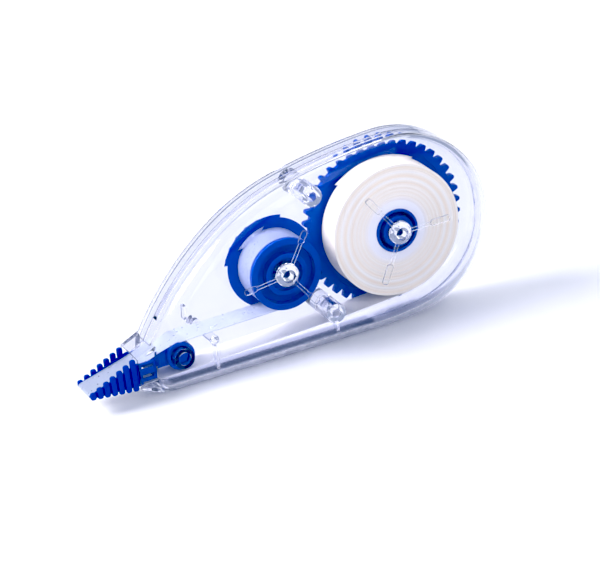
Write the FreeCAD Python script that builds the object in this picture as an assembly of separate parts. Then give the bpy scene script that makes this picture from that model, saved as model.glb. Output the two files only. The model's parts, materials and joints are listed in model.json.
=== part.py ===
import FreeCAD, Part
import math
import os

# Correction tape roller: a clear teardrop case in two halves, with a supply gear and its
# tape roll at the rear, a take-up reel in the middle and a ribbed nozzle at the front.
# Millimetres. X runs from the nozzle (-X) to the rear (+X), Y from the front cover (-Y) to the
# back cover (+Y), Z up. The origin is the centre of the footprint, on the surface it stands on.
# The two halves of the case meet at Y = 0. A place in the side view is written (x, z).

V = FreeCAD.Vector

# Case: outline in the side view, a flat bottom, a rear arc and three arcs over the top
CASE_HALF_THICK = 5.6
FACE_WALL = 1.0
RIM_WALL = 0.9
FACE_ROUND = 3.4
CAVITY_ROUND = 2.5
REAR_CENTRE = (21.3, 16.95)
REAR_RADIUS = 16.35
FLAT_END_X = 15.0
TOP_START_DEG = 93.15
TOP_ARCS = ((105.0, 10.37), (37.9, 22.4), (53.5, 23.2))
SHOULDER_ROUND = 3.6
ROOT_OVERLAP = 0.1
FAR = 60.0

# Rebate where the halves meet: a lip on the back cover inside a step in the front cover
LIP_DEPTH = 0.8
LIP_OUTER_INSET = 0.5
LIP_PLAY = 0.04
LIP_START_X = -23.0

# Collar: the tapered neck that holds the nozzle, its mouth narrower than its root
COLLAR_HALF_WIDTH = 4.0
COLLAR_WALL = 0.55
COLLAR_MOUTH_X = -28.7
COLLAR_MOUTH_Z = (2.0, 7.75)
COLLAR_ROOT_X = -25.4
COLLAR_ROOT_Z = (0.6, 9.3)
COLLAR_ROUND = 0.5
PASSAGE_OVERRUN = 1.0

# Axes of the reels and their axle posts
GEAR_AXIS = (20.35, 16.75)
REEL_AXIS = (-0.9, 15.2)
AXLES = (GEAR_AXIS, REEL_AXIS)
AXLE_RADIUS = 2.0
AXLE_BORE = 0.6
AXLE_SHOULDER_Y = -4.15
AXLE_NOSE_RADIUS = 1.1
AXLE_NOSE_Y = -5.3
RUNNING_CLEARANCE = 0.05
THRUST_BOSS_RADIUS = 3.0
THRUST_FACE_Y = 3.75
GEAR_SPOKES_DEG = (1.5, 126.0, 244.5)
REEL_SPOKES_DEG = (59.0, 187.0, 307.0)
SPOKE_WIDTH = 0.6
SPOKE_FACE_Y = -4.35
GEAR_SPOKE_REACH = 9.3
REEL_SPOKE_REACH = 8.0
SPOKE_ROOT_OVERLAP = 0.4
SPOKE_PAD_START = 5.7
SPOKE_PAD_WIDTH = 1.1
SPOKE_PAD_FACE_Y = -4.25

# Snap posts that hold the halves together, and the tape's guide post
SNAP_POSTS = ((5.2, 27.6), (6.9, 5.85))
SNAP_RADIUS = 1.75
SNAP_BORE = 0.8
SNAP_PIN_PLAY = 0.02
SNAP_MEET_Y = 0.3
SNAP_PIN_END_Y = -2.6
GUIDE_POST = (-15.2, 7.6)
GUIDE_RADIUS = 0.8
GUIDE_END_Y = -4.5
RIB_WIDTH = 0.5
RIB_FOOT_Z = 0.7
RIB_GAP = 0.2
WALL_RIB_LENGTH = 2.6
WALL_RIB_RISE = 1.2
WALL_RIB_FRONT_Y = 3.0

# Tape and film: one 5 mm wide ribbon, its middle a little in front of the seam
TAPE_FRONT_Y = -3.0
TAPE_BACK_Y = 2.0
TAPE_THICK = 0.1
SIDE_PLAY = 0.05
ROLL_RADIUS = 11.65
CORE_RADIUS = 3.85
CORE_WALL = 0.5
CORE_FRONT_Y = -3.3

# Gears: 43 teeth on the supply gear drive 21 on the take-up reel
GEAR_TEETH = 43
PINION_TEETH = 21
PRESSURE_DEG = 20.0
ADDENDUM = 0.44
DEDENDUM = 0.62
TOOTH_THINNING = 0.14
GEAR_FRONT_Y = 2.35
GEAR_BACK_Y = 3.6
GEAR_WEB_FRONT_Y = 2.6
GEAR_WEB_BACK_Y = 3.3
GEAR_RIM_INNER = 12.6
GEAR_WEB_INNER = 4.45
GEAR_SLEEVE_RADIUS = 2.75
GEAR_SLEEVE_FRONT_Y = -3.65
FLANK_STEPS = 4
CLUTCH_RING_RADIUS = 3.05
CLUTCH_RING_SECTION = 0.26
CLUTCH_RING_Y = -0.5

# Take-up reel
REEL_FRONT_Y = -4.05
REEL_DRUM_RADIUS = 6.0
REEL_DRUM_INNER = 5.2
REEL_LIP_RADIUS = 6.33
REEL_LIP_BACK_Y = -3.2
REEL_HUB_RADIUS = 3.7
REEL_COUNTERBORE = 2.9
REEL_COUNTERBORE_Y = -3.0
REEL_WEB_Y = (-2.7, -2.0)
REEL_FLANGE_RADIUS = 8.0
REEL_FLANGE_Y = (2.05, 2.35)
FILM_RADIUS = 6.25

# Nozzle: a wedge between two ribbed cheeks, a shank through the collar and a boss on its post
TIP_CENTRE = (-37.2, 3.4)
TIP_RADIUS = 0.35
WEDGE_HEEL = (-28.3, 5.8)
WEDGE_HEEL_RADIUS = 3.0
WEDGE_END_X = -28.0
CHEEK_THICK = 0.3
CHEEK_OUTLINE = ((-36.9, 3.0), (-28.9, 2.75), (-28.4, 2.75), (-28.4, 6.9), (-36.9, 3.9))
FIN_COUNT = 7
FIN_PITCH = 1.25
FIN_WIDTH = 1.0
FIN_DEPTH = 0.45
FIN_ROUND = 0.4
FIN_FIRST_X = -29.55
FIN_TOP_LINE = ((-29.55, 7.85), (-37.4, 4.0))
FIN_FOOT_LINE = ((-29.55, 2.15), (-37.4, 2.9))
SHANK_BARS = ((3.4, 4.0), (4.6, 5.7), (6.3, 6.8))
SHANK_BAR_X = (-28.6, -25.3)
SHANK_BAR_DEPTH = 0.35
SHANK_BRIDGE_X = (-26.0, -25.3)
SHANK_BRIDGE_Z = (3.4, 6.6)
SHANK_OUTLINE = ((-26.0, 4.3), (-24.4, 4.6), (-21.6, 4.6), (-20.9, 7.9), (-23.6, 7.2), (-26.0, 6.5))
SHANK_Y = (-2.4, 1.4)
BOSS_CENTRE = (-20.9, 5.95)
BOSS_RADIUS = 2.4
BOSS_PROUD = 0.2
BOSS_BORE = 1.85
BOSS_FLOOR_Y = 0.6
BOSS_PIN_RADIUS = 1.1
BOSS_PIN_FRONT_Y = -3.2
NOZZLE_POST_RADIUS = 1.8
NOZZLE_POST_BORE = 1.15


def point(place, y=0.0):
    return V(place[0], y, place[1])


def toward(place, distance, degrees):
    angle = math.radians(degrees)
    return (place[0] + distance * math.cos(angle), place[1] + distance * math.sin(angle))


def bearing(start, end):
    return math.degrees(math.atan2(end[1] - start[1], end[0] - start[0]))


def distance_between(start, end):
    return math.hypot(end[0] - start[0], end[1] - start[1])


def disc(centre, radius, front_y, back_y):
    return Part.makeCylinder(radius, back_y - front_y, point(centre, front_y), V(0, 1, 0))


def ring(centre, outer, inner, front_y, back_y):
    return disc(centre, outer, front_y, back_y).cut(disc(centre, inner, front_y - 1, back_y + 1))


def block(x_range, z_range, y_range):
    front_y, back_y = sorted(y_range)
    width = x_range[1] - x_range[0]
    height = z_range[1] - z_range[0]
    return Part.makeBox(width, back_y - front_y, height, V(x_range[0], front_y, z_range[0]))


def prism(edges, start_y, end_y):
    """Closed side-view outline, drawn in the plane Y = 0, pushed out between two depths."""
    front_y, back_y = sorted((start_y, end_y))
    face = Part.Face(Part.Wire(edges))
    solid = face.extrude(V(0, back_y - front_y, 0))
    solid.translate(V(0, front_y, 0))
    return solid


def polygon(places):
    closed = list(places) + [places[0]]
    return Part.makePolygon([point(place) for place in closed]).Edges


def arc(centre, radius, start_deg, end_deg):
    middle = (start_deg + end_deg) / 2
    places = [toward(centre, radius, angle) for angle in (start_deg, middle, end_deg)]
    return Part.Arc(*[point(place) for place in places]).toShape()


def line(start, end):
    return Part.LineSegment(point(start), point(end)).toShape()


def fused(first, *others):
    return first.multiFuse(list(others)).removeSplitter()


def case_outline():
    """Flat bottom, an arc tangent to it and to the rear arc, the arcs over the top, and the two
    rounded shoulders at the nozzle end with an upright edge between them."""
    offset = REAR_CENTRE[0] - FLAT_END_X
    rise = REAR_CENTRE[1] - REAR_RADIUS
    sweep_radius = (offset ** 2 / rise + REAR_CENTRE[1] + REAR_RADIUS) / 2
    sweep_centre = (FLAT_END_X, sweep_radius)
    join_deg = bearing(sweep_centre, REAR_CENTRE)
    edges = [arc(sweep_centre, sweep_radius, -90, join_deg)]
    edges.append(arc(REAR_CENTRE, REAR_RADIUS, join_deg, TOP_START_DEG))
    place = toward(REAR_CENTRE, REAR_RADIUS, TOP_START_DEG)
    angle = TOP_START_DEG
    for radius, sweep in TOP_ARCS[:-1]:
        centre = toward(place, -radius, angle)
        edges.append(arc(centre, radius, angle, angle + sweep))
        angle += sweep
        place = toward(centre, radius, angle)
    return edges + nozzle_end(place, angle)


def nozzle_end(place, angle):
    """The last arc over the top, the upper shoulder, the upright edge, the lower one, the flat."""
    radius, sweep = TOP_ARCS[-1]
    centre = toward(place, -radius, angle)
    end_x = toward(centre, radius, angle + sweep)[0]
    shoulder_x = end_x + SHOULDER_ROUND
    rise = math.sqrt((radius - SHOULDER_ROUND) ** 2 - (shoulder_x - centre[0]) ** 2)
    upper = (shoulder_x, centre[1] + rise)
    lower = (shoulder_x, SHOULDER_ROUND)
    meet_deg = bearing(centre, upper)
    return [arc(centre, radius, angle, meet_deg),
            arc(upper, SHOULDER_ROUND, meet_deg, 180.0),
            line((end_x, upper[1]), (end_x, lower[1])),
            arc(lower, SHOULDER_ROUND, 180.0, 270.0),
            line((shoulder_x, 0.0), (FLAT_END_X, 0.0))]


def inset_outline(inset):
    wire = Part.Wire(case_outline()).makeOffset2D(-inset)
    return wire.Edges


def rounded_prism(edges, half_thick, radius):
    solid = prism(edges, -half_thick, half_thick)
    rim = [edge for edge in solid.Edges if lies_on_face(edge, half_thick)]
    return solid.makeFillet(radius, rim)


def lies_on_face(edge, half_thick):
    box = edge.BoundBox
    flat = box.YLength < 1e-3
    return flat and abs(abs(box.Center.y) - half_thick) < 1e-3


def collar_solid(inset):
    """The tapered neck, or the passage through it when inset by its wall."""
    low_mouth, high_mouth = COLLAR_MOUTH_Z
    low_root, high_root = COLLAR_ROOT_Z
    reach = PASSAGE_OVERRUN if inset else 0.0
    mouth_x = COLLAR_MOUTH_X - reach
    root_x = COLLAR_ROOT_X + reach
    places = ((mouth_x, low_mouth + inset), (root_x, low_root + inset),
              (root_x, high_root - inset), (mouth_x, high_mouth - inset))
    half_width = COLLAR_HALF_WIDTH - inset
    solid = prism(polygon(places), -half_width, half_width)
    if inset:
        return solid
    long_edges = [edge for edge in solid.Edges
                  if edge.BoundBox.XLength > 1 and edge.BoundBox.YLength < 1e-3]
    return solid.makeFillet(COLLAR_ROUND, long_edges)


def case_shell():
    outside = rounded_prism(case_outline(), CASE_HALF_THICK, FACE_ROUND)
    cavity = rounded_prism(inset_outline(RIM_WALL), CASE_HALF_THICK - FACE_WALL, CAVITY_ROUND)
    return fused(outside, collar_solid(0.0)).cut(fused(cavity, collar_solid(COLLAR_WALL)))


def half_space(side):
    return block((-FAR, FAR), (-FAR, FAR), (0.0, side * FAR))


def lip_band(outer_inset, depth):
    """A band that follows the rim, from the inner wall out to outer_inset, short of the collar."""
    outer = prism(inset_outline(outer_inset), -depth, 0.0)
    inner = prism(inset_outline(RIM_WALL), -depth - 1, 1.0)
    collar_end = block((-FAR, LIP_START_X), (-FAR, FAR), (-FAR, FAR))
    return outer.cut(inner).cut(collar_end)


def spokes(axis, degrees, reach):
    """Three thin ribs on the front cover's inner face, each with a broader outer pad."""
    inner_face = FACE_WALL - CASE_HALF_THICK
    pieces = []
    for angle in degrees:
        rib = block((AXLE_RADIUS - SPOKE_ROOT_OVERLAP, reach), (-SPOKE_WIDTH / 2, SPOKE_WIDTH / 2),
                    (inner_face - ROOT_OVERLAP, SPOKE_FACE_Y))
        pad = block((SPOKE_PAD_START, reach), (-SPOKE_PAD_WIDTH / 2, SPOKE_PAD_WIDTH / 2),
                    (inner_face - ROOT_OVERLAP, SPOKE_PAD_FACE_Y))
        for piece in (rib, pad):
            piece.rotate(V(0, 0, 0), V(0, 1, 0), -angle)
            piece.translate(point(axis))
            pieces.append(piece)
    return pieces


def within_walls(pieces):
    """Ribs and posts trimmed to the cavity and half the thickness of the walls round it."""
    room = rounded_prism(inset_outline(RIM_WALL / 2), CASE_HALF_THICK - FACE_WALL / 2, CAVITY_ROUND)
    return [piece.common(room) for piece in pieces]


def front_cover(shell):
    """Front half: spokes and hubs round the axles, sockets for the snap pins, the nozzle's post."""
    inner_face = FACE_WALL - CASE_HALF_THICK
    root = inner_face - ROOT_OVERLAP
    step = lip_band(LIP_OUTER_INSET - LIP_PLAY, LIP_DEPTH + LIP_PLAY)
    half = shell.common(half_space(-1)).cut(step)
    adds = spokes(GEAR_AXIS, GEAR_SPOKES_DEG, GEAR_SPOKE_REACH)
    adds += spokes(REEL_AXIS, REEL_SPOKES_DEG, REEL_SPOKE_REACH)
    adds += [disc(axis, AXLE_RADIUS, root, AXLE_SHOULDER_Y - RUNNING_CLEARANCE) for axis in AXLES]
    adds += [disc(post, SNAP_RADIUS, root, SNAP_MEET_Y) for post in SNAP_POSTS]
    adds.append(disc(BOSS_CENTRE, NOZZLE_POST_RADIUS, root, BOSS_FLOOR_Y - SIDE_PLAY))
    adds.append(upright_rib(GUIDE_POST, GUIDE_RADIUS + RIB_GAP, root))
    adds.append(upright_rib(SNAP_POSTS[1], SNAP_RADIUS - RIB_GAP, root))
    cuts = [disc(axis, AXLE_NOSE_RADIUS + RUNNING_CLEARANCE, -FAR, 0.0) for axis in AXLES]
    cuts += [disc(post, SNAP_BORE, inner_face, FAR) for post in SNAP_POSTS]
    cuts.append(disc(BOSS_CENTRE, NOZZLE_POST_BORE, inner_face, FAR))
    return fused(half, *within_walls(adds)).cut(Part.makeCompound(cuts))


def upright_rib(post, reach_below, root):
    """Rib on the front cover under a post, from the case bottom up to reach_below its centre."""
    x_range = (post[0] - RIB_WIDTH / 2, post[0] + RIB_WIDTH / 2)
    return block(x_range, (RIB_FOOT_Z, post[1] - reach_below), (root, TAPE_FRONT_Y - RIB_GAP))


def back_cover(shell):
    """Back half: axle posts with thrust bosses, snap pins, the guide post and the seam's lip."""
    root = CASE_HALF_THICK - FACE_WALL + ROOT_OVERLAP
    half = shell.common(half_space(1))
    adds = [disc(axis, AXLE_RADIUS, AXLE_SHOULDER_Y, root) for axis in AXLES]
    adds += [disc(axis, THRUST_BOSS_RADIUS, THRUST_FACE_Y, root) for axis in AXLES]
    adds += [disc(post, SNAP_RADIUS, SNAP_MEET_Y + SIDE_PLAY, root) for post in SNAP_POSTS]
    adds += [disc(post, SNAP_BORE - SNAP_PIN_PLAY, SNAP_PIN_END_Y, root) for post in SNAP_POSTS]
    adds.append(disc(GUIDE_POST, GUIDE_RADIUS, GUIDE_END_Y, root))
    adds.append(wall_rib(root))
    noses = [disc(axis, AXLE_NOSE_RADIUS, AXLE_NOSE_Y, root) for axis in AXLES]
    lip = lip_band(LIP_OUTER_INSET, LIP_DEPTH)
    bores = [disc(axis, AXLE_BORE, AXLE_SHOULDER_Y, FAR) for axis in AXLES]
    return fused(half, *within_walls(adds), *noses, lip).cut(Part.makeCompound(bores))


def wall_rib(root):
    """Short upright rib on the back cover, beside the guide post, that keeps the film straight."""
    rib_x = GUIDE_POST[0] - 2 * GUIDE_RADIUS
    x_range = (rib_x - RIB_WIDTH / 2, rib_x + RIB_WIDTH / 2)
    low = GUIDE_POST[1] + WALL_RIB_RISE
    return block(x_range, (low, low + WALL_RIB_LENGTH), (WALL_RIB_FRONT_Y, root))


def gear_module():
    return 2 * distance_between(GEAR_AXIS, REEL_AXIS) / (GEAR_TEETH + PINION_TEETH)


def involute(base, roll):
    radius = base * math.sqrt(1 + roll ** 2)
    return radius, roll - math.atan(roll)


def flank_places(teeth, module):
    """One tooth flank as (radius, angle from the tooth's middle), from the root to the tip."""
    pitch = module * teeth / 2
    base = pitch * math.cos(math.radians(PRESSURE_DEG))
    pitch_roll = math.tan(math.radians(PRESSURE_DEG))
    half_angle = (math.pi * module / 2 - TOOTH_THINNING) / 2 / pitch + involute(base, pitch_roll)[1]
    low = max(base, pitch - DEDENDUM)
    first_roll = math.sqrt((low / base) ** 2 - 1)
    last_roll = math.sqrt(((pitch + ADDENDUM) / base) ** 2 - 1)
    span = last_roll - first_roll
    rolls = [first_roll + span * step / FLANK_STEPS for step in range(FLANK_STEPS + 1)]
    return [(radius, half_angle - turn) for radius, turn in (involute(base, roll) for roll in rolls)]


def polar(radius, angle):
    return V(radius * math.cos(angle), 0, radius * math.sin(angle))


def tooth_edges(flank, root_radius, middle, pitch_angle):
    """Edges of one tooth, drawn anticlockwise, then the root arc up to the next tooth."""
    rising = [polar(radius, middle - angle) for radius, angle in flank]
    falling = [polar(radius, middle + angle) for radius, angle in reversed(flank)]
    foot_angle = flank[0][1]
    foot_in = polar(root_radius, middle - foot_angle)
    foot_out = polar(root_radius, middle + foot_angle)
    edges = []
    has_foot = flank[0][0] > root_radius + 1e-4
    if has_foot:
        edges.append(Part.LineSegment(foot_in, rising[0]).toShape())
    edges.append(spline(rising))
    edges.append(Part.Arc(rising[-1], polar(flank[-1][0], middle), falling[0]).toShape())
    edges.append(spline(falling))
    if has_foot:
        edges.append(Part.LineSegment(falling[-1], foot_out).toShape())
    next_foot = middle + pitch_angle - foot_angle
    root_middle = (middle + foot_angle + next_foot) / 2
    root_arc = Part.Arc(foot_out, polar(root_radius, root_middle), polar(root_radius, next_foot))
    edges.append(root_arc.toShape())
    return edges


def spline(points):
    curve = Part.BSplineCurve()
    curve.interpolate(points)
    return curve.toShape()


def toothed_disc(axis, teeth, first_tooth_deg, front_y, back_y):
    module = gear_module()
    flank = flank_places(teeth, module)
    root_radius = module * teeth / 2 - DEDENDUM
    pitch_angle = 2 * math.pi / teeth
    edges = []
    for tooth in range(teeth):
        middle = math.radians(first_tooth_deg) + tooth * pitch_angle
        edges += tooth_edges(flank, root_radius, middle, pitch_angle)
    solid = prism(edges, front_y, back_y)
    solid.translate(point(axis))
    return solid


def supply_gear():
    """Toothed wheel with a thin web, and a long sleeve that turns on its axle post."""
    first_tooth = bearing(GEAR_AXIS, REEL_AXIS)
    wheel = toothed_disc(GEAR_AXIS, GEAR_TEETH, first_tooth, GEAR_FRONT_Y, GEAR_BACK_Y)
    for start_y, end_y in ((-FAR, GEAR_WEB_FRONT_Y), (GEAR_WEB_BACK_Y, FAR)):
        wheel = wheel.cut(ring(GEAR_AXIS, GEAR_RIM_INNER, GEAR_WEB_INNER, start_y, end_y))
    sleeve = disc(GEAR_AXIS, GEAR_SLEEVE_RADIUS, GEAR_SLEEVE_FRONT_Y, GEAR_BACK_Y)
    bore = disc(GEAR_AXIS, AXLE_RADIUS + RUNNING_CLEARANCE, -FAR, FAR)
    return fused(wheel, sleeve).cut(bore)


def take_up_reel():
    """Drum with a front lip, a back flange and the pinion, all one moulding."""
    gap_deg = bearing(REEL_AXIS, GEAR_AXIS) + 180.0 / PINION_TEETH
    flange_front_y, flange_back_y = REEL_FLANGE_Y
    pinion = toothed_disc(REEL_AXIS, PINION_TEETH, gap_deg, flange_front_y, GEAR_BACK_Y)
    flange = disc(REEL_AXIS, REEL_FLANGE_RADIUS, flange_front_y, flange_back_y)
    drum = ring(REEL_AXIS, REEL_DRUM_RADIUS, REEL_DRUM_INNER, REEL_FRONT_Y, flange_front_y)
    lip = ring(REEL_AXIS, REEL_LIP_RADIUS, REEL_DRUM_INNER, REEL_FRONT_Y, REEL_LIP_BACK_Y)
    web = disc(REEL_AXIS, REEL_DRUM_INNER + ROOT_OVERLAP, *REEL_WEB_Y)
    hub = disc(REEL_AXIS, REEL_HUB_RADIUS, REEL_FRONT_Y, flange_front_y)
    bore = disc(REEL_AXIS, AXLE_RADIUS + RUNNING_CLEARANCE, -FAR, FAR)
    counterbore = disc(REEL_AXIS, REEL_COUNTERBORE, -FAR, REEL_COUNTERBORE_Y)
    return fused(pinion, flange, drum, lip, web, hub).cut(bore).cut(counterbore)


def clutch_ring():
    ring_solid = Part.makeTorus(CLUTCH_RING_RADIUS, CLUTCH_RING_SECTION, V(0, 0, 0), V(0, 1, 0))
    ring_solid.translate(point(GEAR_AXIS, CLUTCH_RING_Y))
    return ring_solid


def supply_core():
    return ring(GEAR_AXIS, CORE_RADIUS, CORE_RADIUS - CORE_WALL, CORE_FRONT_Y, TAPE_BACK_Y + SIDE_PLAY)


def tape_roll():
    return ring(GEAR_AXIS, ROLL_RADIUS, CORE_RADIUS, TAPE_FRONT_Y, TAPE_BACK_Y)


def used_film_roll():
    return ring(REEL_AXIS, FILM_RADIUS, REEL_DRUM_RADIUS, TAPE_FRONT_Y, TAPE_BACK_Y)


def wedge():
    """Tape guide: a tongue that thins to a rounded lip, its underside and its top both flat."""
    top_deg = wedge_top_deg()
    spread = math.asin((WEDGE_HEEL_RADIUS - TIP_RADIUS) / distance_between(TIP_CENTRE, WEDGE_HEEL))
    under_deg = bearing(TIP_CENTRE, WEDGE_HEEL) - math.degrees(spread) - 90
    lip_top = toward(TIP_CENTRE, TIP_RADIUS, top_deg + 90)
    lip_under = toward(TIP_CENTRE, TIP_RADIUS, under_deg)
    heel = toward(WEDGE_HEEL, WEDGE_HEEL_RADIUS, under_deg)
    heel_end = (WEDGE_END_X, heel[1])
    top_end = (WEDGE_END_X, lip_top[1] + (WEDGE_END_X - lip_top[0]) * math.tan(math.radians(top_deg)))
    edges = [arc(TIP_CENTRE, TIP_RADIUS, top_deg + 90, under_deg + 360)]
    places = (lip_under, heel, heel_end, top_end, lip_top)
    edges += [line(start, end) for start, end in zip(places, places[1:])]
    return prism(edges, TAPE_FRONT_Y, TAPE_BACK_Y)


def wedge_top_deg():
    """Slope of the line from the tip up over the top of the boss."""
    spread = math.asin((BOSS_RADIUS - TIP_RADIUS) / distance_between(TIP_CENTRE, BOSS_CENTRE))
    return bearing(TIP_CENTRE, BOSS_CENTRE) + math.degrees(spread)


def along(line_ends, x):
    (x0, z0), (x1, z1) = line_ends
    return z0 + (z1 - z0) * (x - x0) / (x1 - x0)


def fins(inner_y, outer_y):
    """Rounded upright grip ribs on one cheek, getting shorter towards the tip."""
    pieces = []
    for index in range(FIN_COUNT):
        middle = FIN_FIRST_X - index * FIN_PITCH
        x_range = (middle - FIN_WIDTH / 2, middle + FIN_WIDTH / 2)
        z_range = (along(FIN_FOOT_LINE, middle), along(FIN_TOP_LINE, middle))
        fin = block(x_range, z_range, (inner_y, outer_y))
        across = [edge for edge in fin.Edges if edge.BoundBox.YLength > FIN_DEPTH / 2]
        pieces.append(fin.makeFillet(FIN_ROUND, across))
    return pieces


def cheek(edge_y, side):
    """One side of the nozzle: a thin plate with grip fins, then open bars through the collar."""
    outer_y = edge_y + side * CHEEK_THICK
    bar_y = edge_y + side * SHANK_BAR_DEPTH
    pieces = [prism(polygon(CHEEK_OUTLINE), edge_y, outer_y)]
    pieces += fins(edge_y + side * CHEEK_THICK / 2, outer_y + side * FIN_DEPTH)
    pieces += [block(SHANK_BAR_X, z_range, (edge_y, bar_y)) for z_range in SHANK_BARS]
    return pieces


def shank():
    """A bridge across the ends of the bars, the arm behind it and the boss on its post."""
    bridge_y = (TAPE_FRONT_Y - SHANK_BAR_DEPTH, TAPE_BACK_Y + SHANK_BAR_DEPTH)
    bridge = block(SHANK_BRIDGE_X, SHANK_BRIDGE_Z, bridge_y)
    arm = prism(polygon(SHANK_OUTLINE), *SHANK_Y)
    boss = disc(BOSS_CENTRE, BOSS_RADIUS, TAPE_FRONT_Y - BOSS_PROUD, TAPE_BACK_Y + BOSS_PROUD)
    return [bridge, arm, boss]


def nozzle():
    pieces = cheek(TAPE_FRONT_Y, -1) + cheek(TAPE_BACK_Y, 1) + shank()
    pin = disc(BOSS_CENTRE, BOSS_PIN_RADIUS, BOSS_PIN_FRONT_Y, FAR)
    socket = disc(BOSS_CENTRE, BOSS_BORE, -FAR, BOSS_FLOOR_Y).cut(pin)
    return fused(wedge(), *pieces).cut(socket)


def guides():
    """What the two runs go round, as (centre, radius, side): side is 1 where the centre lies on
    the left-hand side of the run and -1 where it lies on the right-hand side."""
    to_tip = [(GEAR_AXIS, ROLL_RADIUS + SIDE_PLAY, 1), (SNAP_POSTS[1], SNAP_RADIUS, 1),
              (WEDGE_HEEL, WEDGE_HEEL_RADIUS, 1), (TIP_CENTRE, TIP_RADIUS, 1)]
    to_reel = [(TIP_CENTRE, TIP_RADIUS, 1), (BOSS_CENTRE, BOSS_RADIUS, 1),
               (REEL_AXIS, FILM_RADIUS + SIDE_PLAY, -1)]
    return to_tip, to_reel


def tangent_between(first, second):
    """Places where a straight run leaves the first circle and meets the second one."""
    (start, start_radius, start_side), (end, end_radius, end_side) = first, second
    span = distance_between(start, end)
    turn = math.degrees(math.asin((end_side * end_radius - start_side * start_radius) / span))
    heading = bearing(start, end) + turn
    leave = toward(start, start_side * start_radius, heading + 90)
    meet = toward(end, end_side * end_radius, heading + 90)
    return leave, meet


def run_edges(circles):
    """Straight runs between circles, joined by arcs round each circle in between."""
    runs = [tangent_between(first, second) for first, second in zip(circles, circles[1:])]
    edges = []
    for index, (leave, meet) in enumerate(runs):
        edges.append(line(leave, meet))
        if index + 1 < len(runs):
            centre, radius, _ = circles[index + 1]
            start_deg = bearing(centre, meet)
            sweep = (bearing(centre, runs[index + 1][0]) - start_deg + 180) % 360 - 180
            edges.append(arc(centre, radius, start_deg, start_deg + sweep))
    return edges, runs[0][0], runs[-1][1]


def ribbon(circles, thickness, end_deg=None, start_deg=None):
    """Ribbon that hugs the circles; start_deg or end_deg wraps it round the first or last one."""
    gap = SIDE_PLAY / 2
    faces = []
    for face in (1, -1):
        grown = [(centre, radius + (gap if side == face else gap + thickness), side)
                 for centre, radius, side in circles]
        edges, first, last = run_edges(grown)
        if start_deg is not None:
            centre, radius, _ = grown[0]
            edges.insert(0, arc(centre, radius, start_deg, bearing(centre, first)))
            first = toward(centre, radius, start_deg)
        if end_deg is not None:
            centre, radius, _ = grown[-1]
            edges.append(arc(centre, radius, bearing(centre, last) % 360, end_deg))
            last = toward(centre, radius, end_deg)
        faces.append((edges, first, last))
    (inner, inner_first, inner_last), (outer, outer_first, outer_last) = faces
    closing = [line(inner_first, outer_first), line(inner_last, outer_last)]
    edges = Part.__sortEdges__(inner + outer + closing)
    return prism(edges, TAPE_FRONT_Y, TAPE_BACK_Y)


def write(name, shape):
    shape.exportStep(os.path.join("parts", name + ".step"))


def main():
    os.makedirs("parts", exist_ok=True)
    shell = case_shell()
    to_tip, to_reel = guides()
    nodes = {
        "front_cover": front_cover(shell),
        "back_cover": back_cover(shell),
        "supply_gear": supply_gear(),
        "clutch_ring": clutch_ring(),
        "supply_core": supply_core(),
        "tape_roll": tape_roll(),
        "take_up_reel": take_up_reel(),
        "used_film_roll": used_film_roll(),
        "nozzle": nozzle(),
        "correction_tape": ribbon(to_tip, TAPE_THICK, end_deg=180.0),
        "carrier_film": ribbon(to_reel, TAPE_THICK, start_deg=180.0),
    }
    for name, shape in nodes.items():
        write(name, shape)


main()
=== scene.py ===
import json
import math
import random

import bmesh
import bpy
from mathutils import Matrix, Vector


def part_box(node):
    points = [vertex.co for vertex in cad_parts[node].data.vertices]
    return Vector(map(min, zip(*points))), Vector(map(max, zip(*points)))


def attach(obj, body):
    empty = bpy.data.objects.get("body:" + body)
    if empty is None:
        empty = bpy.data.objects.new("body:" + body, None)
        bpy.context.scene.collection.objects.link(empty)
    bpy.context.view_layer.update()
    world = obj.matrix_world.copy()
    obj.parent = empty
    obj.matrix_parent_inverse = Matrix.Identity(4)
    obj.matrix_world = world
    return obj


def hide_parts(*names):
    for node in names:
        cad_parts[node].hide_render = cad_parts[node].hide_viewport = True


# Looks of the correction tape roller. Lengths are millimetres until a mesh is made, where MM turns
# them into metres. A place in the side view is (x, z); depths run along Y, front cover first.

MM = 0.001
SEED = 7
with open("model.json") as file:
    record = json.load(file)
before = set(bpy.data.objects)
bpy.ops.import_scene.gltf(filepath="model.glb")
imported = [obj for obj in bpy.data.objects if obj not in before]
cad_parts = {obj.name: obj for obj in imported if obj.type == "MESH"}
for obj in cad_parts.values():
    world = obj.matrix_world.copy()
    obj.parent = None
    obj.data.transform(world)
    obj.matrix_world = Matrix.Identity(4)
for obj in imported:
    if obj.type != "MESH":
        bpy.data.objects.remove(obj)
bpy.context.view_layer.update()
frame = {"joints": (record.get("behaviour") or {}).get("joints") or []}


def node_box(name):
    low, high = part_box(name)
    return low / MM, high / MM


def joint_axis(name):
    joint = next(item for item in frame["joints"] if item["name"] == name)
    x, _, z = joint["pos_m"]
    return (x / MM, z / MM)


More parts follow.
